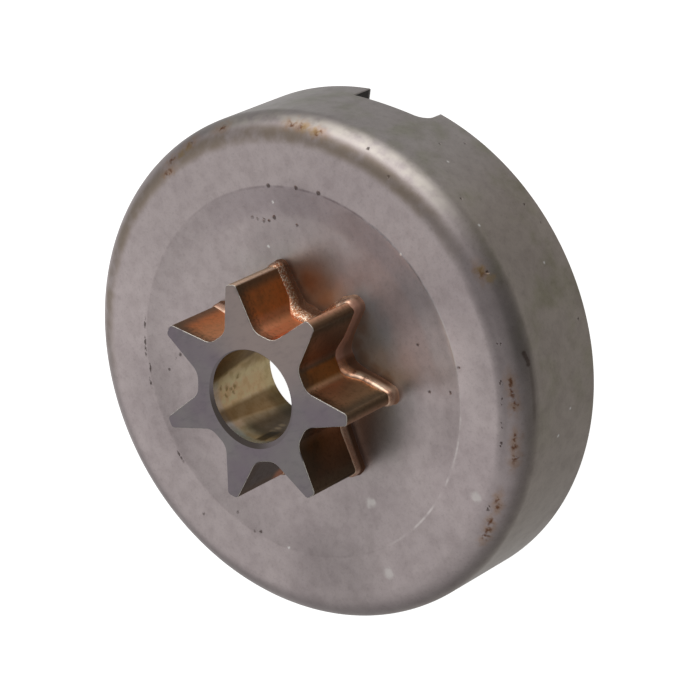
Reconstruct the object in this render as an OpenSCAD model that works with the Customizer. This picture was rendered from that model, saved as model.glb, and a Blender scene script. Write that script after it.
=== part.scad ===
// Chainsaw clutch drum: a pressed steel cup with a spur sprocket brazed through its face.
// The cup rests on its open rim, at z = 0, and +Z runs along the bearing bore to the sprocket's front.

/* [Drum] */
// Outside diameter of the drum
drum_d = 82.5; // [74:0.5:110]
// Height from the open rim to the flat ring of the face
drum_h = 20.5; // [14:0.5:30]
// Thickness of the pressed sheet
sheet_t = 2; // [1.2:0.1:2.6]
// Outside radius of the rounded corner between face and wall
corner_r = 4.8; // [3.2:0.1:6]
// Edge break on both edges of the rim
rim_break = 0.3; // [0.1:0.1:0.5]

/* [Pressed recess] */
// How far the middle of the face lies below its flat ring
recess_depth = 0.7; // [0.3:0.1:1.5]
// Width of the sloping band that starts at the crease
slope_w = 5.6; // [3:0.1:6]
// Width of the flat pad left round the tips of the teeth
pad_margin = 6.7; // [3:0.1:7]

/* [Notch] */
// Width of the notch in the rim
notch_w = 13.3; // [6:0.1:20]
// Depth of the notch
notch_depth = 4.6; // [2:0.1:8]
// Radius of its one rounded corner
notch_round = 2.4; // [0.5:0.1:4]
// Direction of the notch, counted from the X axis
notch_angle = -34; // [-180:1:180]

/* [Sprocket teeth] */
// Number of teeth
teeth = 7; // [7:1:8]
// Pitch of the chain that the teeth drive
chain_pitch = 9.525; // [9.525:0.375 inch, 10.26:0.404 inch]
// How far the tips stay inside the line of the chain's rivets
tip_drop = 3.1; // [2.6:0.1:3.6]
// Height of a tooth above the floor between two teeth
tooth_h = 7.35; // [6.5:0.05:7.6]
// Radius of the rounded tips
tip_round = 1.2; // [0.8:0.1:1.6]
// Slope of a flank against the middle line of its tooth
flank_slope = 14.7; // [12:0.1:17]
// Radius in the two corners of the floor between two teeth
root_round = 2.5; // [1.6:0.1:2.8]
// Height of the sprocket above the pressed face
sprocket_h = 13.1; // [9:0.1:18]
// Edge break round the front of the teeth
front_break = 0.3; // [0.1:0.05:0.5]

/* [Bearing bore] */
// Diameter of the bore for the needle bearing
bore_d = 15; // [12:0.5:16]
// Width of the chamfer at the front mouth
mouth_chamfer = 0.2; // [0.1:0.1:1]
// Width of the chamfer at the end inside the drum
tail_chamfer = 0.2; // [0.1:0.1:0.8]
// Wall of the spigot that passes through the drum's face
spigot_wall = 2; // [1:0.1:2.3]
// Gap round the spigot that the braze runs into
braze_gap = 0.05; // [0.02:0.01:0.1]

/* [Braze fillet] */
// Width of the fillet on the drum's face
fillet_w = 0.8; // [0.5:0.1:1.5]
// Height of the fillet on the teeth
fillet_h = 1.5; // [0.8:0.1:2.5]
// Thickness of the fillet at its two thin edges
fillet_edge = 0.12; // [0.08:0.02:0.2]

/* [Hidden] */
$fn = 96;
over = 1; // how far a cutter reaches past the solid it cuts
fine_over = 0.2; // the same for the small cutter round the teeth

drum_r = drum_d / 2;
notch_corner = min(notch_round, notch_depth);

// The chain's rivets pass the drum as a polygon with two sides for each tooth
rivet_line_r = chain_pitch / (2 * tan(90 / teeth));
tip_r = rivet_line_r - tip_drop;
root_r = tip_r - tooth_h;

// Levels and radii of the pressed face
pad_z = drum_h - recess_depth;
pad_under_z = pad_z - sheet_t;
pad_r = tip_r + pad_margin;
slope_steps = 10;
slope_power = 1.5; // above 1 the band starts at a crisp crease and runs out softly into the pad

// Sprocket
front_z = pad_z + sprocket_h;
bore_r = bore_d / 2;
spigot_r = bore_r + spigot_wall;
hole_r = spigot_r + braze_gap;

// Outline of one tooth, with its middle line along X
gap_half = 180 / teeth;
tip_c = tip_r - tip_round;
flank_dist = tip_c * sin(flank_slope) + tip_round;
corner_det = -cos(gap_half + flank_slope);
corner_c = [
    ((flank_dist + root_round) * sin(gap_half) - (root_r + root_round) * cos(flank_slope)) / corner_det,
    (sin(flank_slope) * (root_r + root_round) - cos(gap_half) * (flank_dist + root_round)) / corner_det
];
first_tooth = 90; // one tooth stands on the +Y axis
tip_steps = 10;
corner_steps = 5;

// Braze
fillet_foot = min(fillet_w, root_round - fillet_edge);
fillet_steps = 4;

function arc(c, r, a0, a1, steps) =
    [for (i = [0:steps]) let (a = a0 + (a1 - a0) * i / steps) c + r * [cos(a), sin(a)]];

function mirror_y(pts) = [for (i = [len(pts) - 1:-1:0]) [pts[i].x, -pts[i].y]];

function turn(pts, a) = [for (p = pts) [p.x * cos(a) - p.y * sin(a), p.x * sin(a) + p.y * cos(a)]];

// One tooth, from the floor on its one side to the floor on the other, grown outwards by grow
function tooth_points(grow) =
    let (
        corner = arc(corner_c, root_round - grow, 270 - flank_slope, 180 + gap_half, corner_steps),
        tip = arc([tip_c, 0], tip_round + grow, flank_slope - 90, 90 - flank_slope, tip_steps)
    ) concat(mirror_y(corner), tip, corner);

function star_points(grow) =
    [for (k = [0:teeth - 1]) each turn(tooth_points(grow), first_tooth + 360 / teeth * k)];

// Triangles between loop i and loop j, of n points each
function band(i, j, n) =
    [for (k = [0:n - 1]) let (m = (k + 1) % n)
        each [[i * n + k, j * n + k, j * n + m], [i * n + k, j * n + m, i * n + m]]];

// Ring that follows the toothed outline, with a section whose corners are [grow, z]
module toothed_ring(section) {
    n = len(star_points(0));
    m = len(section);
    polyhedron(
        points = [for (s = section) each [for (p = star_points(s[0])) [p.x, p.y, s[1]]]],
        faces = [for (i = [0:m - 1]) each band(i, (i + 1) % m, n)]
    );
}

// Cup without a hollow, with every surface moved inwards by inset
module filled_cup(inset, foot_z) {
    slope = [for (i = [0:slope_steps]) let (u = i / slope_steps)
        [pad_r + slope_w * u, pad_z + recess_depth * pow(u, slope_power) - inset]];
    rotate_extrude()
        polygon(concat(
            [[0, foot_z], [0, pad_z - inset]],
            slope,
            [[drum_r - corner_r, drum_h - inset], [drum_r - corner_r, foot_z]]
        ));
    translate([0, 0, foot_z])
        cylinder(h = drum_h - corner_r - foot_z, r = drum_r - inset);
    rotate_extrude()
        translate([drum_r - corner_r, drum_h - corner_r])
            circle(r = corner_r - inset);
}

// Cutter for the rim's edge at radius r, with the solid on the side away from dir
module rim_break_cut(r, dir) {
    rotate_extrude()
        polygon([
            [r - dir * (rim_break + over), -over],
            [r + dir * over, rim_break + over],
            [r + dir * over, -over]
        ]);
}

// The notch has square corners, but for the one that comes first in a turn about +Z
module notch_cut() {
    rotate([0, 0, notch_angle])
        translate([drum_r - 2 * sheet_t, 0, 0])
            rotate([90, 0, 90])
                linear_extrude(height = 3 * sheet_t) {
                    translate([notch_corner - notch_w / 2, -over])
                        square([notch_w - notch_corner, notch_depth + over]);
                    translate([-notch_w / 2, -over])
                        square([notch_w / 2, notch_depth - notch_corner + over]);
                    translate([notch_corner - notch_w / 2, notch_depth - notch_corner])
                        circle(r = notch_corner);
                }
}

module drum_cup() {
    color("#8f8783")
        difference() {
            filled_cup(0, 0);
            filled_cup(sheet_t, -over);
            cylinder(h = drum_h + over, r = hole_r);
            rim_break_cut(drum_r, 1);
            rim_break_cut(drum_r - sheet_t, -1);
            notch_cut();
        }
}

// Cutter for the break round the front edge of the teeth
module front_break_cut() {
    toothed_ring([
        [fine_over, front_z - front_break - fine_over],
        [fine_over, front_z + fine_over],
        [-front_break - fine_over, front_z + fine_over]
    ]);
}

module bore_cut() {
    translate([0, 0, pad_under_z - over])
        cylinder(h = front_z - pad_under_z + 2 * over, r = bore_r);
    translate([0, 0, front_z - mouth_chamfer])
        cylinder(h = mouth_chamfer + over, r1 = bore_r, r2 = bore_r + mouth_chamfer + over);
    translate([0, 0, pad_under_z - over])
        cylinder(h = tail_chamfer + over, r1 = bore_r + tail_chamfer + over, r2 = bore_r);
}

module spur_sprocket() {
    color("#7c8190")
        difference() {
            union() {
                translate([0, 0, pad_z])
                    linear_extrude(height = sprocket_h)
                        polygon(star_points(0));
                translate([0, 0, pad_under_z])
                    cylinder(h = sheet_t + sprocket_h / 2, r = spigot_r);
            }
            front_break_cut();
            bore_cut();
        }
}

// Concave fillet of copper in the corner between the drum's face and the teeth
module braze_fillet() {
    curve = [for (i = [0:fillet_steps]) let (a = 90 * i / fillet_steps) [
        fillet_foot - (fillet_foot - fillet_edge) * sin(a),
        pad_z + fillet_edge + (fillet_h - fillet_edge) * (1 - cos(a))
    ]];
    color("#b56a45")
        toothed_ring(concat(
            [[fillet_foot, pad_z]],
            curve,
            [[0, pad_z + fillet_h], [0, pad_z]]
        ));
}

drum_cup();
spur_sprocket();
braze_fillet();
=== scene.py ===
"""Looks of the chainsaw clutch drum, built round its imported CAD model.

Sizes are in millimetres and angles in degrees.
"""

import math

import bpy
from mathutils import Matrix, Vector, noise


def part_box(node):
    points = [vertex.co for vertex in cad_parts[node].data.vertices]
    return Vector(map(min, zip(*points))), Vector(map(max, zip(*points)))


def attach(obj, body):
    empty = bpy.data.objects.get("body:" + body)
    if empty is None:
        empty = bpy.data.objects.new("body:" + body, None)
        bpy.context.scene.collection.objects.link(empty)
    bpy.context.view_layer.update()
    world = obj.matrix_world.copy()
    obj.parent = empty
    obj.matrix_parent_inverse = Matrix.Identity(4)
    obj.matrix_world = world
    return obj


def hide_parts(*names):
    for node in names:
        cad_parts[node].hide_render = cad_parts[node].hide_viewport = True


MM = 0.001

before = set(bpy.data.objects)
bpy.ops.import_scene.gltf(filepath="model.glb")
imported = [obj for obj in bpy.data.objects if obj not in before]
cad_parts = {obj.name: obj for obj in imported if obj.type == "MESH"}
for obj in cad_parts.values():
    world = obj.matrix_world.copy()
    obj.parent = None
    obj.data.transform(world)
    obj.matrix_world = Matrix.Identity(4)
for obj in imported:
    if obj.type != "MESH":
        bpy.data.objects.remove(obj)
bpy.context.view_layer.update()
_, cup_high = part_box("drum_cup")
sprocket_low, sprocket_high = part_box("spur_sprocket")

# Drum, as the CAD has it
DRUM_R = cup_high.x / MM
DRUM_H = cup_high.z / MM
SHEET = 2.0
CORNER_R = 4.8
RIM_BREAK = 0.3
RECESS = 0.7
PAD_Z = DRUM_H - RECESS
PAD_R = 24.47
SLOPE_W = 5.6
SLOPE_POWER = 1.5
HOLE_R = 9.55
NOTCH_ANGLE = -34.0
NOTCH_W = 13.3
NOTCH_DEPTH = 4.6
NOTCH_ROUND = 2.4

# Sprocket, as the CAD has it
TEETH = 7
FIRST_TOOTH = 90.0
FRONT_Z = sprocket_high.z / MM
SPIGOT_Z = sprocket_low.z / MM
TIP_R = sprocket_high.y / MM
TOOTH_H = 7.35
TIP_ROUND = 1.2
TIP_EDGE = 0.7
FLANK_SLOPE = 14.7
ROOT_ROUND = 2.5
BORE_R = 7.5
TAIL_CHAMFER = 0.2
SPIGOT_R = 9.5

# Shallow countersink at the bore's mouth, a little off the bore's axis
SINK_R = 7.96
SINK_OFFSET = 0.5
SINK_ANGLE = 130.0
SINK_DEPTH = 0.2

# Camera, fitted to the photograph
CAMERA_TARGET = (1.18, -11.3, DRUM_H)
CAMERA_AZIMUTH = -83.548
CAMERA_ELEVATION = 50.262
CAMERA_DISTANCE = 552.45
CAMERA_ROLL = -115.872
CAMERA_LENS = 184.93
SENSOR = 36.0


def cosd(a):
    return math.cos(math.radians(a))


def sind(a):
    return math.sin(math.radians(a))


def direction(azimuth, elevation):
    """Unit vector towards an azimuth, counted from +X, and an elevation."""
    return Vector((cosd(azimuth) * cosd(elevation), sind(azimuth) * cosd(elevation), sind(elevation)))


# Outlines


def rounded(corners, step=8.0):
    """Closed outline through corners (x, y, radius), each rounded by an arc of its radius."""
    points = []
    for k, (x, y, radius) in enumerate(corners):
        corner = Vector((x, y))
        if radius == 0:
            points.append((x, y))
            continue
        before = (Vector(corners[k - 1][:2]) - corner).normalized()
        after = (Vector(corners[(k + 1) % len(corners)][:2]) - corner).normalized()
        half = before.angle(after) / 2
        centre = corner + (before + after).normalized() * radius / math.sin(half)
        start = corner + before * radius / math.tan(half) - centre
        end = corner + after * radius / math.tan(half) - centre
        turn = start.angle_signed(end)
        steps = max(2, math.ceil(abs(math.degrees(turn)) / step))
        for i in range(steps + 1):
            spoke = start.copy()
            spoke.rotate(Matrix.Rotation(-turn * i / steps, 2))
            points.append(tuple(centre + spoke))
    return points


def between(p, q, i, parts):
    """The end of part i, where the line from p to q is cut into equal parts."""
    return tuple(a + (b - a) * i / parts for a, b in zip(p, q))


def refined(points, longest):
    """The closed outline with its long sides cut into pieces of at most this length."""
    out = []
    for k, p in enumerate(points):
        q = points[(k + 1) % len(points)]
        parts = max(1, math.ceil(math.dist(p, q) / longest))
        out += [between(p, q, i, parts) for i in range(parts)]
    return out


def arc(centre, radius, start, end, steps):
    angles = [start + (end - start) * i / steps for i in range(steps + 1)]
    return [(centre[0] + radius * cosd(a), centre[1] + radius * sind(a)) for a in angles]


def turned(point, angle):
    x, y = point
    return x * cosd(angle) - y * sind(angle), x * sind(angle) + y * cosd(angle)


def tooth_outline(grow, flank_steps, corner_steps, tip_steps, floor_steps):
    """Outline of the sprocket, grown outwards by grow, as one point list round all its teeth."""
    root_r = TIP_R - TOOTH_H
    gap_half = 180.0 / TEETH
    flank_dist = (TIP_R - TIP_ROUND) * sind(FLANK_SLOPE) + TIP_ROUND
    det = -cosd(gap_half + FLANK_SLOPE)
    centre = (
        ((flank_dist + ROOT_ROUND) * sind(gap_half) - (root_r + ROOT_ROUND) * cosd(FLANK_SLOPE)) / det,
        (sind(FLANK_SLOPE) * (root_r + ROOT_ROUND) - cosd(gap_half) * (flank_dist + ROOT_ROUND)) / det,
    )
    corner = arc(centre, ROOT_ROUND - grow, 270 - FLANK_SLOPE, 180 + gap_half, corner_steps)
    across, inside = flank_dist - TIP_EDGE, TIP_R - TIP_EDGE
    along = math.sqrt(inside**2 - across**2)
    edge = (
        across * sind(FLANK_SLOPE) + along * cosd(FLANK_SLOPE),
        across * cosd(FLANK_SLOPE) - along * sind(FLANK_SLOPE),
    )
    land_end = math.degrees(math.atan2(edge[1], edge[0]))
    land = arc((0.0, 0.0), TIP_R + grow, 0.0, land_end, 3)
    tip = land[:-1] + arc(edge, TIP_EDGE + grow, land_end, 90 - FLANK_SLOPE, tip_steps)
    flank = [between(tip[-1], corner[0], i, flank_steps) for i in range(1, flank_steps)]
    middle = turned((root_r + grow, 0.0), gap_half)
    floor = [between(corner[-1], middle, i, floor_steps) for i in range(1, floor_steps)]
    half = tip + flank + corner + floor
    tooth = [(x, -y) for x, y in reversed(half[1:])] + half + [middle]
    return [turned(p, FIRST_TOOTH + 360.0 / TEETH * k) for k in range(TEETH) for p in tooth]


# Meshes


def skin(name, loops, wrap=False, caps=False, bands=None):
    """Mesh through loops of as many points each. bands holds the material index between two loops."""
    count = len(loops[0])
    verts = [tuple(c * MM for c in p) for loop in loops for p in loop]
    faces, slots = [], []
    for i in range(len(loops) if wrap else len(loops) - 1):
        j = (i + 1) % len(loops)
        for k in range(count):
            m = (k + 1) % count
            faces.append((i * count + k, i * count + m, j * count + m, j * count + k))
            slots.append(bands[i] if bands else 0)
    if caps:
        faces.append(tuple(reversed(range(count))))
        faces.append(tuple(range((len(loops) - 1) * count, len(loops) * count)))
        slots += [0, 0]
    mesh = bpy.data.meshes.new(name)
    mesh.from_pydata(verts, [], faces)
    mesh.polygons.foreach_set("material_index", slots)
    mesh.validate()
    piece = bpy.data.objects.new(name, mesh)
    bpy.context.scene.collection.objects.link(piece)
    return piece


def shade(piece, angle):
    """Smooth shading with sharp edges past an angle, and flat faces kept flat beside rounded edges."""
    piece.data.shade_smooth()
    piece.data.set_sharp_from_angle(angle=math.radians(angle))
    weighted = piece.modifiers.new("flat_faces", "WEIGHTED_NORMAL")
    weighted.keep_sharp = True


def applied(piece):
    """Replaces the piece's mesh by what its modifiers make of it."""
    graph = bpy.context.evaluated_depsgraph_get()
    mesh = bpy.data.meshes.new_from_object(piece.evaluated_get(graph))
    piece.modifiers.clear()
    piece.data = mesh


def ring(radius, z, count):
    return [(radius * cosd(360.0 * k / count), radius * sind(360.0 * k / count), z) for k in range(count)]


# Shader nodes


class Shader:
    """One material's node tree, with short calls for the nodes that it is built from."""

    def __init__(self, name):
        self.material = bpy.data.materials.new(name)
        self.material.use_nodes = True
        self.nodes = self.material.node_tree.nodes
        self.links = self.material.node_tree.links
        self.surface = self.nodes["Principled BSDF"]
        coords = self.nodes.new("ShaderNodeTexCoord").outputs["Object"]
        self.at = self.vector("SCALE", coords, scale=1 / MM)
        parts = self.node("SeparateXYZ", [self.at])
        self.x, self.y, self.z = parts.outputs
        self.flat = self.node("CombineXYZ", [self.x, self.y]).outputs[0]
        self.radius = self.vector("LENGTH", self.flat, out="Value")
        self.spoke = self.vector("NORMALIZE", self.flat)

    def node(self, kind, values=(), **settings):
        made = self.nodes.new("ShaderNode" + kind)
        for key, value in settings.items():
            setattr(made, key, value)
        for key, value in values.items() if isinstance(values, dict) else enumerate(values):
            if isinstance(value, bpy.types.NodeSocket):
                self.links.new(value, made.inputs[key])
            elif value is not None:
                made.inputs[key].default_value = value
        return made

    def vector(self, operation, a, b=None, scale=None, out="Vector"):
        made = self.node("VectorMath", [a] if b is None else [a, b], operation=operation)
        if scale is not None:
            made.inputs["Scale"].default_value = scale
        return made.outputs[out]

    def math(self, operation, a, b=None):
        return self.node("Math", [a, b], operation=operation).outputs[0]

    def level(self, value, low, high, to_low=0.0, to_high=1.0):
        values = {"Value": value, "From Min": low, "From Max": high, "To Min": to_low, "To Max": to_high}
        return self.node("MapRange", values, interpolation_type="SMOOTHSTEP").outputs["Result"]

    def band(self, value, middle, wide, narrow):
        """1 where the value is within narrow of the middle, and 0 where it is further than wide."""
        return self.level(self.math("ABSOLUTE", self.math("SUBTRACT", value, middle)), wide, narrow)

    def noise(self, per_mm, detail=3.0, rough=0.55, stretch=None):
        place = self.at
        if stretch:
            place = self.vector("MULTIPLY", place, stretch)
        values = {"Vector": place, "Scale": per_mm, "Detail": detail, "Roughness": rough}
        return self.node("TexNoise", values).outputs["Fac"]

    def mix(self, share, a, b, blend="MIX"):
        made = self.node("Mix", data_type="RGBA", blend_type=blend)
        for key, value in ((0, share), (6, a), (7, b)):
            if isinstance(value, bpy.types.NodeSocket):
                self.links.new(value, made.inputs[key])
            else:
                made.inputs[key].default_value = value
        return made.outputs[2]

    def tinted(self, share, colour, tint):
        """The colour, multiplied by tint where share is 1."""
        return self.mix(share, colour, tint, "MULTIPLY")

    def blend(self, share, a, b):
        """Number between a and b."""
        return self.node("MapRange", {"Value": share, "To Min": a, "To Max": b}).outputs["Result"]

    def both(self, first, *others):
        """Product of two or more values, which is 1 only where all of them are."""
        for value in others:
            first = self.math("MULTIPLY", first, value)
        return first

    def facing(self, angle, low, high):
        """0 to 1 round the axis, as the direction from the axis turns towards an angle."""
        turn = self.vector("DOT_PRODUCT", self.spoke, direction(angle, 0), out="Value")
        return self.level(turn, low, high)

    def rippled(self, per_mm, by):
        """The position, moved about by a little noise, so that what is drawn with it has uneven edges."""
        field = self.node("TexNoise", {"Vector": self.at, "Scale": per_mm, "Detail": 2.0}).outputs["Color"]
        push = self.vector("SCALE", self.vector("SUBTRACT", field, (0.5, 0.5, 0.5)), scale=2 * by)
        return self.vector("ADD", self.at, push)

    def near(self, where, places, size, edge):
        """1 within size of any of the places (x, y, z), and 0 from edge further out."""
        nearest = None
        for place in places:
            gap = self.vector("DISTANCE", where, place, out="Value")
            nearest = gap if nearest is None else self.math("MINIMUM", nearest, gap)
        return self.level(nearest, size + edge, size)

    def drawn_out(self, where, places, at_radius, length, size, edge):
        """1 at the places (angle, radius), each length times as long round the axis as it is wide."""
        x, y, _ = self.node("SeparateXYZ", [where]).outputs
        squeeze = at_radius / length
        turn = self.both(self.math("ARCTAN2", y, x), squeeze)
        out = self.vector("LENGTH", self.node("CombineXYZ", [x, y]).outputs[0], out="Value")
        polar = self.node("CombineXYZ", [turn, out, 0.0]).outputs[0]
        return self.near(polar, [(math.radians(a) * squeeze, r, 0.0) for a, r in places], size, edge)

    def bump(self, height, depth_mm, normal=None):
        values = {"Height": height, "Distance": depth_mm * MM, "Strength": 1.0}
        if normal is not None:
            values["Normal"] = normal
        return self.node("Bump", values).outputs["Normal"]

    def finish(self, **sockets):
        for key, value in sockets.items():
            socket = self.surface.inputs[key.replace("_", " ").title()]
            if isinstance(value, bpy.types.NodeSocket):
                self.links.new(value, socket)
            else:
                socket.default_value = value
        return self.material


def rgb(r, g, b):
    return (r, g, b, 1.0)


def grey(tone):
    return rgb(tone, tone, tone)


def on_top(angle, radius):
    """Place on the drum's face or its rounded corner, by its angle and its distance from the axis."""
    climb = min(1.0, max(0.0, (radius - PAD_R) / SLOPE_W))
    past = max(0.0, radius - (DRUM_R - CORNER_R))
    fall = CORNER_R - math.sqrt(CORNER_R**2 - past**2)
    return radius * cosd(angle), radius * sind(angle), PAD_Z + RECESS * climb**SLOPE_POWER - fall


def on_tops(places):
    return [on_top(*place) for place in places]


def on_wall(angle, z):
    return DRUM_R * cosd(angle), DRUM_R * sind(angle), z


def on_bore(angle, z):
    return BORE_R * cosd(angle), BORE_R * sind(angle), z


# Marks by angle and distance from the axis, or on the drum's wall and in the bore by angle and height
RUST = [(-2.5, 40), (7.5, 39.8), (14, 39.2), (16, 38), (-22.5, 39.8), (-25.5, 39.7), (-30, 39.5)]
RUST += [(-81, 39.6), (-106, 39), (-108.5, 39), (-111, 39.2), (-119, 39.3), (-121, 39.4), (-124, 39.5)]
RUST += [(-135, 38.7), (-137, 39.1), (-141, 39), (-143.5, 39.3), (-145.5, 39.4)]
HOLES = [(-15, 30.2), (-25, 30.2), (-33, 30.4), (-14, 25)]
OCHRE = [(-80.5, 39.7), (-83, 40.4), (-26.5, 39.7), (-29, 39.5), (8, 39.5), (10.5, 39.2)]
PITS = [(-81.5, 40.3), (-11.5, 24.5), (-9, 24.5), (-6.5, 25), (-4.5, 25.5), (-24, 24)]
PITS += [(-102, 30.5), (-110, 28), (-111, 24), (-93, 23.5), (120, 34), (137, 30), (139, 29.5), (129, 29)]
PITS += [(-51, 38.5), (-43, 40), (69, 24), (60, 26), (75, 26.5), (102, 30.5), (105, 30.5)]
SPECKLED = [(-106, 37.7), (-110, 37.5), (-116, 37.5), (-121, 37.5), (-138, 38)]
SPECKLED += [(-97, 38.5), (70, 25), (-10, 24.7)]
DASHES = [(60, 30.5), (66, 30.5), (69, 30.5), (74, 30), (79, 30.5), (103, 30.5)]
GLINTS = [(-15, 27.5), (-8, 20.5), (-118, 18), (150, 30), (-65, 30)]
BLOTCHES = [(-171, 23), (-176, 34), (-137, 35.5)]
DARK_STREAK = [(-100.5, 40.85), (-101.1, 40.9), (-101.7, 40.95), (-102.3, 41), (-103, 41)]
WALL_GLINTS = [(-72, 15.5), (-85, 6), (-56, 10.5), (-122, 10), (-117, 7)]
BORE_PITS = [(54, 29.5), (66, 26.5), (71, 31), (73, 29.5), (75, 27.5), (77, 28.5), (81, 28), (81, 30)]
WALL_PITS = [(-51, 8), (-53.5, 3.5), (-65, 15), (-72, 3), (-77, 2), (-99, 2.5)]

# Broad areas of painted shade and painted light on the face, each with its size, its soft edge and its
# tone
LIT_AND_SHADED_AREAS = [
    (on_top(190, 20), 3.0, 7.0, 0.9),
    (on_top(350, 21), 2.0, 4.0, 0.87),
    (on_top(260, 26), 4.0, 6.0, 1.25),
    (on_top(85, 27), 3.0, 9.0, 0.87),
    (on_top(170, 29), 3.0, 9.0, 0.9),
    (on_top(335, 26), 2.0, 5.0, 0.87),
    (on_top(165, 36), 4.0, 9.0, 0.85),
    (on_top(70, 34), 9.0, 15.0, 1.12),
    (on_top(230, 33), 6.0, 9.0, 1.12),
]

# Bands along the rounded corner: radius, half width, sharp half width, angle faced, its two limits, tone
CORNER_BANDS = [
    (37.5, 1.3, 0.3, 256, 0.9, 0.97, 0.8),
    (39.2, 1.9, 0.6, 105, 0.65, 0.85, 0.8),
    (40.6, 1.0, 0.2, 315, 0.42, 0.6, 0.72),
    (38.6, 1.8, 0.5, 185, 0.82, 0.95, 1.15),
]

# Where copper ran out over the pad beside the braze, painted darker as shade round the braze
SHADED_WASH_SPOTS = [(-18, 16), (-30, 15), (-45, 13.5), (-75, 15), (-83, 12.7), (-69, 16)]
SHADED_WASH_SPOTS += [(-93, 12.5), (-101, 14), (-109, 16)]


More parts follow.
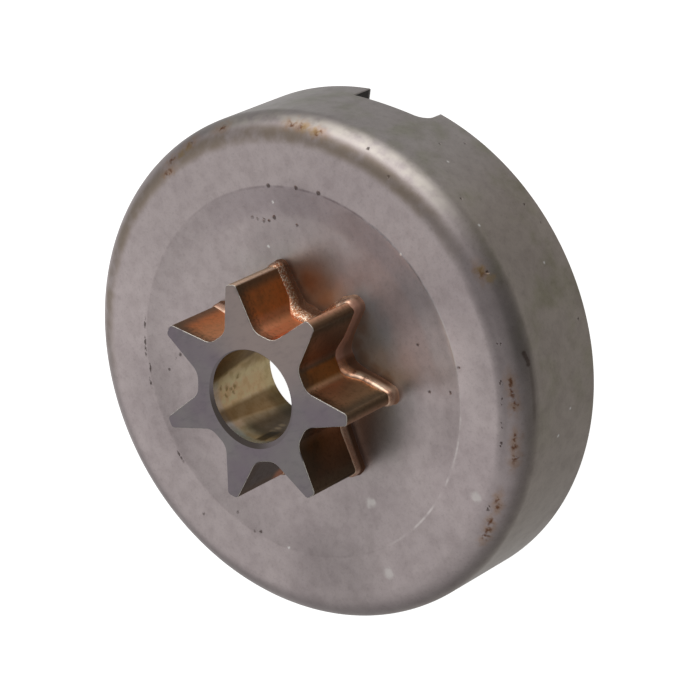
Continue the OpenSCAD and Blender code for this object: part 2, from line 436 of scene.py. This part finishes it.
def drum_steel():
    s = Shader("drum_steel")
    clouds = s.noise(0.07, detail=5)
    mottle = s.noise(0.5, detail=5, rough=0.6)
    grain = s.noise(5.0, detail=3, rough=0.65)
    corner_start = DRUM_R - CORNER_R
    low_corner = DRUM_H - CORNER_R

    # The face is a pinkish grey, and the corner and the wall an olive brown
    wall = s.level(s.z, DRUM_H - 0.6, low_corner)
    colour = s.mix(wall, rgb(0.6, 0.52, 0.515), rgb(0.505, 0.44, 0.385))
    olive = s.both(wall, s.level(s.noise(0.16, detail=4), 0.45, 0.7), s.facing(-60, 0.2, 0.9))
    colour = s.mix(olive, colour, rgb(0.42, 0.38, 0.29))
    colour = s.tinted(s.both(wall, s.facing(338, 0.6, 0.95)), colour, rgb(0.97, 1.01, 1.1))
    colour = s.tinted(s.level(clouds, 0.4, 0.7), colour, rgb(0.9, 0.89, 0.9))
    colour = s.tinted(s.level(s.noise(1.7, detail=3, rough=0.7), 0.5, 0.72), colour, rgb(0.9, 0.9, 0.9))
    colour = s.tinted(s.level(mottle, 0.35, 0.75), colour, rgb(0.88, 0.87, 0.87))
    colour = s.tinted(s.level(grain, 0.45, 0.7), colour, rgb(0.93, 0.93, 0.93))
    # Broad painted shade and painted light
    for place, size, edge, tone in LIT_AND_SHADED_AREAS:
        colour = s.tinted(s.near(s.at, [place], size, edge), colour, grey(tone))

    # The rounded corner: a brown band where it starts, partly stain and partly painted shade, and further
    # out a band of painted highlight, mottled like wear
    stain_and_shade = s.both(s.level(s.radius, corner_start, corner_start + 1.5), s.level(s.radius, 40.0, 38.8))
    stain_and_shade = s.both(stain_and_shade, s.level(s.z, low_corner, low_corner + 1), s.facing(0, 0.1, 0.6))
    stain_and_shade = s.both(stain_and_shade, s.level(s.noise(0.25, detail=4), 0.2, 0.6))
    colour = s.mix(s.both(stain_and_shade, 0.7), colour, rgb(0.36, 0.28, 0.2))
    # Painted highlight along the corner
    wear_and_highlight = s.both(
        s.level(s.z, DRUM_H - 0.8, DRUM_H - 1.8),
        s.level(s.z, low_corner + 0.6, low_corner + 2.6),
    )
    wear_and_highlight = s.both(wear_and_highlight, s.facing(328, 0.74, 0.92), s.level(s.noise(0.35, detail=3), 0.7, 0.36))
    colour = s.mix(wear_and_highlight, colour, rgb(0.7, 0.64, 0.58))

    # Further round, the corner is shaded along three bands and lighter where it turns to the far side
    on_corner = s.level(s.z, low_corner, low_corner + 1)
    for radius, wide, narrow, angle, low, high, tone in CORNER_BANDS:
        banded = s.both(s.band(s.radius, radius, wide, narrow), s.facing(angle, low, high), on_corner)
        colour = s.tinted(banded, colour, grey(tone))

    # The pressed slope, with painted shade on the side facing 325 degrees and a bluer tint beside the
    # sprocket, and the thin line of its crease, painted as shade with a painted highlight on the side
    # facing 235 degrees
    crease_r = PAD_R + SLOPE_W
    slope = s.both(s.level(s.radius, PAD_R, PAD_R + 2), s.level(s.radius, crease_r + 0.3, crease_r))
    slope = s.both(slope, s.level(s.z, PAD_Z - 1, PAD_Z - 0.5))
    colour = s.tinted(s.both(slope, s.facing(325, 0.5, 0.95)), colour, rgb(0.85, 0.84, 0.86))
    beside = s.facing(282, 0.85, 0.96)
    colour = s.tinted(s.both(slope, beside), colour, rgb(1.04, 1.13, 1.16))
    crease = s.band(s.radius, crease_r, 0.3, 0.05)
    crease = s.both(crease, s.level(s.noise(0.3), 0.35, 0.6), s.level(s.z, PAD_Z - 0.5, PAD_Z))
    # Painted shade along the crease, strongest on the side facing 290 degrees
    crease_shade = s.both(crease, s.blend(s.facing(290, 0.3, 0.8), 0.3, 1.0))
    colour = s.tinted(crease_shade, colour, rgb(0.7, 0.68, 0.68))
    # Painted highlight along the crease
    colour = s.mix(s.both(crease, s.facing(235, 0.6, 0.9), 0.8), colour, rgb(0.85, 0.78, 0.76))

    # Rust spots, each with a faint stain round it
    low_side = s.level(s.z, low_corner - 1, low_corner)
    ragged = s.rippled(1.0, 0.8)
    rust_r = 39.0
    halo = s.both(s.drawn_out(ragged, RUST, rust_r, 2.6, 0.05, 1.2), low_side)
    halo = s.both(halo, s.level(s.noise(0.8), 0.3, 0.55))
    colour = s.mix(s.both(halo, 0.6), colour, rgb(0.48, 0.29, 0.17))
    core = s.both(s.drawn_out(ragged, RUST, rust_r, 2.2, 0.06, 0.42), low_side)
    core = s.both(core, s.level(s.noise(1.3), 0.36, 0.5))
    colour = s.mix(s.both(core, 0.9), colour, rgb(0.2, 0.085, 0.04))
    ochre = s.near(ragged, on_tops(OCHRE), 0.2, 1.0)
    colour = s.mix(s.both(ochre, 0.6), colour, rgb(0.45, 0.31, 0.15))

    # Pits, dashes along the crease, and glints
    fine = s.rippled(2.5, 0.22)
    pits = on_tops(PITS) + [on_wall(*place) for place in WALL_PITS]
    pits = s.both(s.near(fine, pits, 0.06, 0.3), s.blend(s.level(s.noise(0.9), 0.35, 0.6), 0.5, 1.0))
    pits = s.math("MAXIMUM", pits, s.near(fine, on_tops(HOLES), 0.16, 0.3))
    speckled = s.both(s.drawn_out(s.at, SPECKLED, 37.5, 2.5, 0.1, 0.7), low_side)
    speckled = s.level(s.math("ADD", s.both(speckled, 0.3), s.noise(2.4, detail=2)), 0.84, 0.9)
    dashes = s.drawn_out(s.at, DASHES, crease_r, 5.0, 0.05, 0.2)
    dashes = s.both(dashes, s.level(s.z, PAD_Z - 0.5, PAD_Z), s.level(s.noise(1.5), 0.42, 0.5))
    marks = s.math("MAXIMUM", s.math("MAXIMUM", pits, speckled), dashes)
    colour = s.mix(s.both(marks, 0.8), colour, rgb(0.09, 0.06, 0.05))
    glints = on_tops(GLINTS) + [on_wall(*place) for place in WALL_GLINTS]
    glints = s.near(fine, glints, 0.1, 0.25)
    colour = s.mix(s.both(glints, 0.8), colour, rgb(0.95, 0.93, 0.9))
    blotches = s.near(s.rippled(0.8, 0.8), on_tops(BLOTCHES), 0.4, 0.9)
    colour = s.mix(s.both(blotches, 0.5), colour, rgb(0.85, 0.82, 0.78))

    # A short dark streak on the corner, which runs out into a weak line of painted shade
    dark_streak = s.near(s.at, on_tops(DARK_STREAK), 0.2, 0.4)
    # Painted shade line
    shade_line = s.both(s.band(s.z, DRUM_H - 3.5, 0.5, 0.1), s.facing(252, 0.985, 0.996))
    shade_line = s.both(shade_line, s.level(s.radius, 40, 40.5), 0.4)
    colour = s.tinted(s.math("MAXIMUM", dark_streak, shade_line), colour, rgb(0.5, 0.45, 0.43))

    # Copper wash on the pad round the sprocket, darker near the braze as painted shade, and a greenish
    # tint round it, partly heat tint and partly painted shade, bluer beside the sprocket
    wash = s.level(s.math("ADD", s.radius, s.both(s.noise(0.5, detail=4), 5.0)), 21.0, 18.5)
    colour = s.mix(s.both(wash, s.facing(295, 0.1, 0.6), 0.24), colour, rgb(0.4, 0.26, 0.16))
    # Painted shade over the copper wash beside the braze
    shaded_wash = s.near(s.rippled(0.35, 1.2), on_tops(SHADED_WASH_SPOTS), 0.4, 1.8)
    colour = s.mix(s.both(shaded_wash, 0.5), colour, rgb(0.36, 0.2, 0.115))
    # Partly heat tint, partly painted shade
    tint = s.level(s.math("ADD", s.radius, s.both(s.noise(0.2), 8.0)), 27.0, 19.0)
    colour = s.tinted(s.both(tint, s.facing(290, -0.5, 0.9)), colour, rgb(0.88, 0.96, 0.91))
    colour = s.tinted(s.both(tint, s.facing(282, 0.7, 0.95)), colour, rgb(0.98, 1.14, 1.27))

    # The sheet's cut edges, on the rim and in the notch
    inner_r = DRUM_R - SHEET
    in_sheet = s.both(
        s.level(s.radius, DRUM_R - 0.1, DRUM_R - 0.25),
        s.level(s.radius, inner_r + 0.05, inner_r + 0.2),
    )
    low_wall = s.level(s.z, NOTCH_DEPTH + 2, NOTCH_DEPTH + 1)
    colour = s.mix(s.both(in_sheet, low_wall), colour, rgb(0.2, 0.185, 0.17))
    # The notch's cut faces are near black: partly oxide and partly painted shade
    in_notch = s.both(in_sheet, low_wall, s.level(s.z, RIM_BREAK, 2 * RIM_BREAK))
    colour = s.mix(in_notch, colour, rgb(0.05, 0.045, 0.04))

    # The recess is duller beside the sprocket
    dulled = s.both(s.level(s.radius, crease_r, crease_r - 1), s.level(s.z, PAD_Z - 1, PAD_Z - 0.5))
    dulled = s.both(dulled, beside, 0.2)
    rough = s.math("ADD", s.blend(s.noise(0.25, detail=4), 0.31, 0.42), dulled)
    normal = s.bump(grain, 0.005)
    normal = s.bump(mottle, 0.02, normal)
    normal = s.bump(s.math("SUBTRACT", 1.0, marks), 0.08, normal)
    return s.finish(base_color=colour, metallic=1.0, roughness=rough, normal=normal)


def ground_front():
    s = Shader("ground_front")
    clouds = s.noise(0.12, detail=4)
    colour = s.mix(s.level(clouds, 0.35, 0.65), rgb(0.25, 0.21, 0.235), rgb(0.275, 0.25, 0.25))
    colour = s.mix(s.both(s.facing(320, 0.2, 1.0), 0.9), colour, rgb(0.385, 0.31, 0.285))
    lines = s.noise(1.2, detail=4, rough=0.6, stretch=(1.0, 0.4, 1.0))
    colour = s.tinted(s.level(lines, 0.45, 0.75), colour, rgb(0.88, 0.89, 0.9))
    # Painted highlights along the front's broken edges, which are also worn and rougher
    wear_and_highlight = s.both(s.level(s.z, FRONT_Z - 0.005, FRONT_Z - 0.04), s.level(s.noise(0.4), 0.3, 0.5))
    colour = s.mix(wear_and_highlight, colour, rgb(0.9, 0.85, 0.78))
    normal = s.bump(lines, 0.003)
    rough = s.math("ADD", s.blend(s.noise(0.4, detail=3), 0.3, 0.4), s.both(wear_and_highlight, 0.35))
    return s.finish(base_color=colour, metallic=1.0, roughness=rough, normal=normal)


def coppered_flank():
    s = Shader("coppered_flank")
    patches = s.noise(0.25, detail=3)
    fine = s.noise(1.6, detail=4)

    # Copper on the side where the braze ran, thicker towards the pad
    low = s.level(s.z, FRONT_Z, PAD_Z + 3.0)
    share = s.level(s.math("ADD", s.both(low, 0.5), patches), 0.35, 0.9)
    copper = s.mix(share, rgb(0.42, 0.19, 0.075), rgb(1.0, 0.34, 0.1))
    # Copper tones by the way each flank faces: partly the copper's own colour, partly painted light and
    # painted shade, darkest as shade on the flanks facing 208 degrees
    copper = s.mix(s.facing(13, 0.93, 0.98), copper, rgb(1.0, 0.48, 0.22))
    copper = s.mix(s.facing(288, 0.972, 0.985), copper, rgb(0.44, 0.26, 0.17))
    copper = s.mix(s.facing(251, 0.972, 0.988), copper, rgb(1.0, 0.57, 0.32))
    floor = s.level(s.radius, 12.7, 11.7)
    copper = s.tinted(s.both(s.facing(270, 0.985, 0.995), floor), copper, rgb(0.62, 0.66, 0.6))
    copper = s.mix(s.both(s.facing(321, 0.9, 0.99), floor), copper, rgb(1.0, 0.43, 0.21))
    copper = s.tinted(s.facing(208, 0.6, 0.95), copper, rgb(0.24, 0.26, 0.17))
    coppered = s.facing(300, -0.6, 0.1)
    steel = s.mix(patches, rgb(0.156, 0.136, 0.115), rgb(0.21, 0.187, 0.16))
    colour = s.mix(coppered, steel, copper)

    # Olive towards the tips and the front, and pale steel on the tips from wear, each tip paler towards
    # one side, partly from wear and partly as painted highlight
    fringe = s.level(s.math("ADD", s.z, s.both(fine, 3.0)), FRONT_Z - 1.5, FRONT_Z + 1.5)
    colour = s.mix(s.both(fringe, 0.72), colour, rgb(0.16, 0.115, 0.07))
    colour = s.mix(s.both(s.level(s.radius, TIP_R - 2.4, TIP_R - 0.7), 0.8), colour, rgb(0.22, 0.16, 0.1))
    tip = s.level(s.radius, TIP_R - 0.4, TIP_R - 0.1)
    tip_colour = s.mix(s.level(s.z, PAD_Z + 5, FRONT_Z - 3), rgb(0.27, 0.17, 0.1), rgb(0.5, 0.33, 0.22))
    for angle, towards, dull, bright in (
        (347, 257, rgb(0.5, 0.36, 0.24), rgb(0.88, 0.66, 0.5)),
        (296, 26, rgb(0.23, 0.14, 0.08), rgb(0.86, 0.5, 0.32)),
        (244, 154, rgb(0.25, 0.17, 0.1), rgb(0.6, 0.38, 0.25)),
    ):
        across = s.vector("DOT_PRODUCT", s.flat, direction(towards, 0), out="Value")
        wear_and_highlight = s.mix(s.level(across, -0.5, 0.6), dull, bright)
        tip_colour = s.mix(s.facing(angle, 0.96, 0.98), tip_colour, wear_and_highlight)
    # Painted shade on the tip facing 190 degrees
    tip_colour = s.tinted(s.facing(190, 0.8, 0.95), tip_colour, rgb(0.44, 0.46, 0.42))
    colour = s.mix(tip, colour, tip_colour)

    # Two places near the braze where the copper is redder
    ember = s.both(s.level(s.z, PAD_Z + 5, PAD_Z + 3), s.facing(147, 0.98, 0.995))
    ember = s.both(ember, s.level(s.radius, 15, 16.5))
    colour = s.mix(s.both(ember, 0.8), colour, rgb(0.85, 0.38, 0.2))
    ember = s.both(s.level(s.z, PAD_Z + 9, PAD_Z + 3), s.facing(212, 0.975, 0.995))
    colour = s.mix(s.both(ember, 0.45), colour, rgb(0.62, 0.26, 0.13))
    colour = s.tinted(s.level(fine, 0.45, 0.75), colour, rgb(0.8, 0.76, 0.74))

    rough = s.blend(s.noise(0.8, detail=3), 0.3, 0.42)
    rough = s.math("ADD", rough, s.both(tip, 0.25))
    normal = s.bump(s.noise(1.2, detail=3), 0.015)
    return s.finish(base_color=colour, metallic=1.0, roughness=rough, normal=normal)


def sunk_mouth():
    s = Shader("sunk_mouth")
    colour = s.mix(s.noise(0.8, detail=3), rgb(0.22, 0.185, 0.2), rgb(0.25, 0.22, 0.22))
    # Painted shade on the side facing 122 degrees
    colour = s.tinted(s.facing(122, 0.45, 0.85), colour, rgb(0.5, 0.48, 0.42))
    rough = s.blend(s.noise(0.9), 0.3, 0.4)
    return s.finish(base_color=colour, metallic=1.0, roughness=rough)


def bore_wall():
    s = Shader("bore_wall")
    degrees = s.both(s.math("ARCTAN2", s.y, s.x), math.degrees(1.0))
    streaks = s.noise(0.4, detail=4, stretch=(1.0, 1.0, 0.3))
    colour = s.mix(s.level(streaks, 0.35, 0.65), rgb(0.94, 0.73, 0.39), rgb(1.0, 0.82, 0.48))
    colour = s.tinted(s.level(s.noise(0.8, detail=3), 0.4, 0.65), colour, rgb(0.86, 0.83, 0.76))

    # Painted shade and painted reflection: a dark corner at the mouth that winds inwards, the browner wall
    # beside it, a lighter patch further in and a bluer tint at the mouth
    wound = s.math("SUBTRACT", degrees, s.both(s.z, 1.6))
    colour = s.tinted(s.level(wound, 11, 3), colour, rgb(0.4, 0.34, 0.24))
    colour = s.tinted(s.level(degrees, 66, 54), colour, rgb(0.82, 0.74, 0.68))
    colour = s.tinted(s.both(s.level(degrees, 64, 50), s.level(s.z, 27, 23)), colour, rgb(0.7, 0.68, 0.66))
    middle = s.both(s.level(degrees, 64, 74), s.level(s.z, 19, 22))
    colour = s.tinted(middle, colour, rgb(1.12, 1.02, 1.06))
    mouth = s.level(s.z, 30.8, 32.2)
    colour = s.tinted(s.both(mouth, s.level(degrees, 54, 64)), colour, rgb(0.85, 0.95, 1.3))

    # More painted shade and painted reflection: a dark band, and past it a paler wall with a dark end, a
    # light spot, a black patch and a greener part
    leaning = s.math("ADD", degrees, s.both(s.z, 0.8))
    past = s.level(leaning, 134, 141)
    band = s.both(s.level(degrees, 91, 99), s.math("SUBTRACT", 1.0, past))
    colour = s.tinted(band, colour, rgb(0.39, 0.34, 0.28))
    colour = s.tinted(past, colour, rgb(0.78, 0.76, 0.85))
    colour = s.tinted(s.both(past, mouth), colour, rgb(1.0, 1.16, 1.25))
    colour = s.tinted(s.both(past, s.level(s.z, 30.5, 28)), colour, rgb(0.6, 0.62, 0.58))
    deep = s.both(s.level(degrees, 98, 108), s.level(s.z, 22.5, 20))
    colour = s.tinted(deep, colour, rgb(0.6, 0.58, 0.56))
    inner = s.both(s.level(degrees, 128, 135), s.level(s.z, 26.5, 24))
    colour = s.tinted(inner, colour, rgb(0.75, 0.72, 0.66))
    spot = s.near(s.at, [on_bore(153, 27.2), on_bore(152, 25.7), on_bore(150, 24.3)], 0.1, 0.7)
    far = s.both(s.level(degrees, 115, 132), s.level(s.z, 31.5, 28.5), s.blend(spot, 1.0, 0.3))
    colour = s.tinted(far, colour, rgb(0.32, 0.3, 0.28))
    black = s.both(s.level(degrees, 149, 153), s.level(degrees, 166, 161), s.level(s.z, 32, 31))
    black = s.both(black, s.level(s.z, 26.3, 27.6))
    colour = s.tinted(black, colour, rgb(0.18, 0.17, 0.14))
    greener = s.both(s.level(degrees, 118, 130), s.level(s.z, 27, 29.5))
    colour = s.tinted(greener, colour, rgb(0.9, 1.06, 1.08))

    pits = s.near(s.rippled(1.6, 0.5), [on_bore(*place) for place in BORE_PITS], 0.08, 0.5)
    colour = s.mix(s.both(pits, 0.7), colour, rgb(0.36, 0.24, 0.09))

    rough = s.blend(s.noise(0.7, detail=3), 0.3, 0.42)
    normal = s.bump(s.noise(1.5, detail=3), 0.01)
    return s.finish(base_color=colour, metallic=1.0, roughness=rough, normal=normal)


def copper_braze():
    s = Shader("copper_braze")
    patches = s.noise(0.5, detail=4)
    fine = s.noise(3.6, detail=3, rough=0.6)
    colour = s.mix(s.level(patches, 0.35, 0.7), rgb(0.85, 0.5, 0.34), rgb(1.0, 0.74, 0.56))

    # Grainy between the teeth at 347 and 296 degrees, its bright specks partly painted sparkle, and dull
    # on the far side of the second
    grainy = s.facing(325, 0.87, 0.95)
    grains_and_sparkle = s.mix(s.level(fine, 0.48, 0.6), rgb(0.56, 0.26, 0.14), rgb(1.0, 0.82, 0.64))
    colour = s.mix(grainy, colour, grains_and_sparkle)
    dull = s.facing(284, 0.968, 0.98)
    colour = s.mix(dull, colour, rgb(0.66, 0.39, 0.29))
    # Painted shade in the valley at 266 degrees
    colour = s.tinted(s.facing(266, 0.988, 0.997), colour, rgb(0.72, 0.55, 0.45))

    # The foot is painted dark as shade, less so in a few places, so only the upper edge is bright. It lies
    # higher in the two valleys beside the tooth at 296 degrees
    climb = s.both(s.level(s.radius, 13.0, 10.8), s.facing(296, 0.3, 0.85))
    height = s.math("SUBTRACT", s.z, s.both(climb, 1.0))
    foot = s.level(height, PAD_Z + 1.5, PAD_Z + 0.7)
    lighter_foot = s.both(s.facing(306, 0.985, 0.997), s.level(s.radius, 12, 13.5))
    lighter_foot = s.math("MAXIMUM", lighter_foot, s.math("MAXIMUM", dull, s.facing(243, 0.99, 0.998)))
    # Painted shade on the foot
    colour = s.mix(s.both(foot, s.blend(lighter_foot, 0.94, 0.35)), colour, rgb(0.22, 0.11, 0.065))

    rough = s.math("ADD", s.blend(patches, 0.2, 0.36), s.both(s.math("MAXIMUM", dull, foot), 0.42))
    normal = s.bump(s.both(fine, s.blend(grainy, 0.12, 1.0)), 0.1)
    return s.finish(base_color=colour, metallic=1.0, roughness=rough, normal=normal)


# Pieces


def seat(piece, node, slot, *materials, sharp=35.0):
    """Gives the piece its materials, lets it stand for a CAD node, and sets it on the one body."""
    for material in materials:
        piece.data.materials.append(material)
    shade(piece, sharp)
    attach(piece, "root")
    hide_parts(node)


def cup_outline():
    """Section of the cup, as (radius, height), counterclockwise from the hole's top edge outwards."""
    crease_r = PAD_R + SLOPE_W
    crease_round = 2.5
    hole_break = 0.1
    steps = 10
    slope = [(PAD_R + SLOPE_W * i / steps, RECESS * (i / steps) ** SLOPE_POWER) for i in range(steps)]
    inner_r = DRUM_R - SHEET
    outside = [(r, PAD_Z + dz, 0) for r, dz in slope] + [(crease_r, DRUM_H, crease_round)]
    inside = [(r, PAD_Z - SHEET + dz, 0) for r, dz in slope] + [(crease_r, DRUM_H - SHEET, crease_round)]
    corners = (
        [(HOLE_R, PAD_Z, hole_break)]
        + outside
        + [(DRUM_R, DRUM_H, CORNER_R), (DRUM_R, 0, RIM_BREAK), (inner_r, 0, RIM_BREAK)]
        + [(inner_r, DRUM_H - SHEET, CORNER_R - SHEET)]
        + inside[::-1]
        + [(HOLE_R, PAD_Z - SHEET, hole_break)]
    )
    return refined(rounded(corners, 5.0), 1.2)


def notch_cutter():
    """Prism for the notch, flared at both surfaces of the wall so that it leaves small broken edges."""
    edge = 0.15
    past = 1.5
    square_round = 0.25
    inner_r = DRUM_R - SHEET
    half = NOTCH_W / 2

    def outline(grow):
        corners = [
            (half + grow, -past, 0),
            (half + grow, NOTCH_DEPTH + grow, square_round + grow),
            (-half - grow, NOTCH_DEPTH + grow, NOTCH_ROUND + grow),
            (-half - grow, -past, 0),
        ]
        return rounded(corners)

    loops = []
    for radius, grow in (
        (inner_r - past, edge + past),
        (inner_r, edge),
        (inner_r + edge, 0),
        (DRUM_R - edge, 0),
        (DRUM_R, edge),
        (DRUM_R + past, edge + past),
    ):
        loop = []
        for side, height in outline(grow):
            x, y = turned((math.sqrt(radius**2 - side**2), side), NOTCH_ANGLE)
            loop.append((x, y, height))
        loops.append(loop)
    return skin("notch_cutter", loops, caps=True)


def drum_cup():
    count = 320
    piece = skin("drum_cup_shell", [ring(r, z, count) for r, z in cup_outline()], wrap=True)
    cutter = notch_cutter()
    cut = piece.modifiers.new("notch", "BOOLEAN")
    cut.object = cutter
    applied(piece)
    bpy.data.objects.remove(cutter)
    seat(piece, "drum_cup", "drum_steel", drum_steel())


def sink(angles):
    """Loops of the countersink's outer edge on the front, and of its inner edge on the bore's wall."""
    least_width, least_depth = 0.06, 0.05
    mouth, throat = [], []
    for a in angles:
        turn = a - SINK_ANGLE
        radius = SINK_OFFSET * cosd(turn) + math.sqrt(SINK_R**2 - (SINK_OFFSET * sind(turn)) ** 2)
        radius = max(radius, BORE_R + least_width)
        depth = SINK_DEPTH * (radius - BORE_R) / (SINK_R + SINK_OFFSET - BORE_R)
        mouth.append((radius * cosd(a), radius * sind(a), FRONT_Z))
        throat.append((BORE_R * cosd(a), BORE_R * sind(a), FRONT_Z - max(depth, least_depth)))
    return mouth, throat


def spur_sprocket():
    steps = {"flank_steps": 10, "corner_steps": 9, "tip_steps": 9, "floor_steps": 4}
    front, flank, bore, sunk = 0, 1, 2, 3
    edge = 0.15
    levels = 14
    outline = tooth_outline(0, **steps)
    angles = [math.degrees(math.atan2(y, x)) for x, y in outline]

    def star(grow, z):
        return [(x, y, z) for x, y in tooth_outline(grow, **steps)]

    def circle(radius, z):
        return [(radius * cosd(a), radius * sind(a), z) for a in angles]

    loops, bands = [], []

    def add(loop, band):
        loops.append(loop)
        bands.append(band)

    for i in range(levels + 1):
        add(star(0, PAD_Z + (FRONT_Z - edge - PAD_Z) * i / levels), flank)
    for a in range(10, 90, 10):
        add(star(-edge * (1 - cosd(a)), FRONT_Z - edge * (1 - sind(a))), front)
    lip = star(-edge, FRONT_Z)
    mouth, throat = sink(angles)
    parts = 5
    for i in range(parts + 1):
        add([between(p, q, i, parts) for p, q in zip(lip, mouth)], front if i < parts else sunk)
    add([tuple((a + b) / 2 for a, b in zip(p, q)) for p, q in zip(mouth, throat)], sunk)
    bore_end = SPIGOT_Z + TAIL_CHAMFER
    bore_parts = 8
    for i in range(bore_parts + 1):
        add([(x, y, z + (bore_end - z) * i / bore_parts) for x, y, z in throat], bore)
    add(circle(BORE_R + TAIL_CHAMFER, SPIGOT_Z), flank)
    add(circle(SPIGOT_R, SPIGOT_Z), flank)
    add(circle(SPIGOT_R, PAD_Z), flank)
    piece = skin("spur_sprocket_body", loops, wrap=True, bands=bands)
    materials = ground_front(), coppered_flank(), bore_wall(), sunk_mouth()
    seat(piece, "spur_sprocket", "sprocket_steel", *materials, sharp=11.0)


# Section of the braze, from its foot to its upper edge, as shares of its width and height
BRAZE_SECTION = [(1.0, 0.0), (0.9, 0.03), (0.83, 0.1), (0.79, 0.22), (0.76, 0.36), (0.73, 0.5)]
BRAZE_SECTION += [(0.68, 0.63), (0.6, 0.75), (0.47, 0.86), (0.3, 0.94), (0.15, 0.98), (0.03, 1.0)]

# Where the braze swells, by angle, distance from the axis and reach, and what it gains in width and height
SWELLS = [
    (347, 17.8, 1.0, 0.2, 0.3),
    (333, 14.0, 3.0, 0.15, 0.0),
    (323, 10.6, 2.2, 0.6, 0.2),
    (308, 13.5, 1.8, 0.8, 0.8),
    (303, 16.0, 1.5, 0.85, 0.8),
    (296, 17.8, 1.0, 0.2, 0.2),
    (258, 11.0, 1.5, 0.3, 0.2),
    (254, 13.5, 2.0, 0.4, 0.0),
    (250, 16.0, 2.0, 0.35, 0.0),
    (243, 17.8, 1.2, 0.25, -0.3),
    (191, 17.8, 1.0, 0.25, 0.2),
    (143, 17.0, 1.2, 0.3, 0.3),
    (30, 15.0, 2.0, 0.3, 0.6),
]


def swollen(x, y):
    """Width and height that the swells add to the braze at a place on the teeth's outline."""
    wider = taller = 0.0
    for angle, radius, reach, width, height in SWELLS:
        gap = math.dist((x, y), (radius * cosd(angle), radius * sind(angle)))
        share = math.exp(-((gap / reach) ** 2))
        wider += width * share
        taller += height * share
    return wider, taller


def braze_fillet():
    steps = {"flank_steps": 30, "corner_steps": 16, "tip_steps": 12, "floor_steps": 8}
    outline = tooth_outline(0, **steps)
    count = len(outline)
    most = direction(296, 0)
    rounds = []
    for k, (x, y) in enumerate(outline):
        along = (Vector(outline[(k + 1) % count]) - Vector(outline[k - 1])).normalized()
        slow = noise.noise(Vector((x, y, 0)) * 0.35)
        quick = noise.noise(Vector((x, y, 7)) * 1.3)
        valley = min(1.0, max(0.0, (12.9 - math.hypot(x, y)) / 2.3))
        toward = Vector((x, y, 0)).normalized().dot(most)
        copious = min(1.0, 1.0 + toward)
        pooled = valley * min(1.0, max(0.0, (toward - 0.3) / 0.5))
        wider, taller = swollen(x, y)
        wide = 0.18 + 0.17 * copious + 0.12 * valley + 0.2 * pooled + 0.06 * slow + 0.04 * quick + wider
        tall = 1.0 + 1.3 * copious + 1.3 * pooled + 0.15 * slow + 0.08 * quick + taller
        rounds.append((x, y, along.y, -along.x, wide, tall))
    loops = [
        [(x + nx * w * wide, y + ny * w * wide, PAD_Z + h * tall) for x, y, nx, ny, wide, tall in rounds]
        for w, h in BRAZE_SECTION
    ]
    inside = 0.05
    for h in (0.97, 0.0):
        loop = [(x - nx * inside, y - ny * inside, PAD_Z + h * tall) for x, y, nx, ny, _, tall in rounds]
        loops.append(loop)
    piece = skin("braze_fillet_bead", loops, wrap=True)
    seat(piece, "braze_fillet", "copper_braze", copper_braze())


# Studio


# Even light from all round
AROUND = 0.1

# Soft lamps by azimuth, elevation, narrowness and strength. The last is what the pale floor throws back
LAMPS = [
    (-20, 10, 6, 1.9),
    (90, 45, 6, 0.55),
    (90, -30, 5, 0.5),
    (180, 40, 5, 0.3),
    (0, -90, 3, 0.4),
]


def studio():
    world = bpy.data.worlds.new("studio")
    bpy.context.scene.world = world
    world.use_nodes = True
    nodes, links = world.node_tree.nodes, world.node_tree.links
    coords = nodes.new("ShaderNodeTexCoord").outputs["Generated"]

    def number(operation, a, b=0.0):
        made = nodes.new("ShaderNodeMath")
        made.operation = operation
        for key, value in enumerate((a, b)):
            if isinstance(value, bpy.types.NodeSocket):
                links.new(value, made.inputs[key])
            else:
                made.inputs[key].default_value = value
        return made.outputs[0]

    total = AROUND
    for azimuth, elevation, narrow, strength in LAMPS:
        dot = nodes.new("ShaderNodeVectorMath")
        dot.operation = "DOT_PRODUCT"
        dot.inputs[1].default_value = direction(azimuth, elevation)
        links.new(coords, dot.inputs[0])
        fall = number("MULTIPLY", number("SUBTRACT", dot.outputs["Value"], 1.0), narrow)
        total = number("ADD", number("MULTIPLY", number("EXPONENT", fall), strength), total)
    links.new(total, nodes["Background"].inputs["Strength"])
    nodes["Background"].inputs["Color"].default_value = rgb(1, 1, 1)


def floor():
    half = 2000.0
    corners = [(-half, -half, 0), (half, -half, 0), (half, half, 0), (-half, half, 0)]
    mesh = bpy.data.meshes.new("floor")
    mesh.from_pydata([tuple(c * MM for c in p) for p in corners], [], [(0, 1, 2, 3)])
    ground = bpy.data.objects.new("floor", mesh)
    bpy.context.scene.collection.objects.link(ground)
    s = Shader("floor")
    mesh.materials.append(s.finish(base_color=rgb(0.8, 0.8, 0.8), roughness=0.9))
    s.surface.inputs["Emission Color"].default_value = rgb(1, 1, 1)
    s.surface.inputs["Emission Strength"].default_value = 0.95
    ground.visible_glossy = False


def camera():
    data = bpy.data.cameras.new("camera")
    data.lens = CAMERA_LENS
    data.sensor_width = SENSOR
    data.sensor_fit = "HORIZONTAL"
    data.clip_start = 0.01
    data.clip_end = 10
    eye = bpy.data.objects.new("camera", data)
    back = direction(CAMERA_AZIMUTH, CAMERA_ELEVATION)
    right = Vector((0, 0, 1)).cross(back).normalized()
    up = back.cross(right)
    axes = Matrix((right, up, back)).transposed() @ Matrix.Rotation(math.radians(CAMERA_ROLL), 3, "Z")
    place = Vector(CAMERA_TARGET) + back * CAMERA_DISTANCE
    eye.matrix_world = Matrix.Translation(place * MM) @ axes.to_4x4()
    bpy.context.scene.collection.objects.link(eye)
    bpy.context.scene.camera = eye


camera()
drum_cup()
spur_sprocket()
braze_fillet()
floor()
studio()
bpy.context.scene.view_settings.view_transform = "Standard"
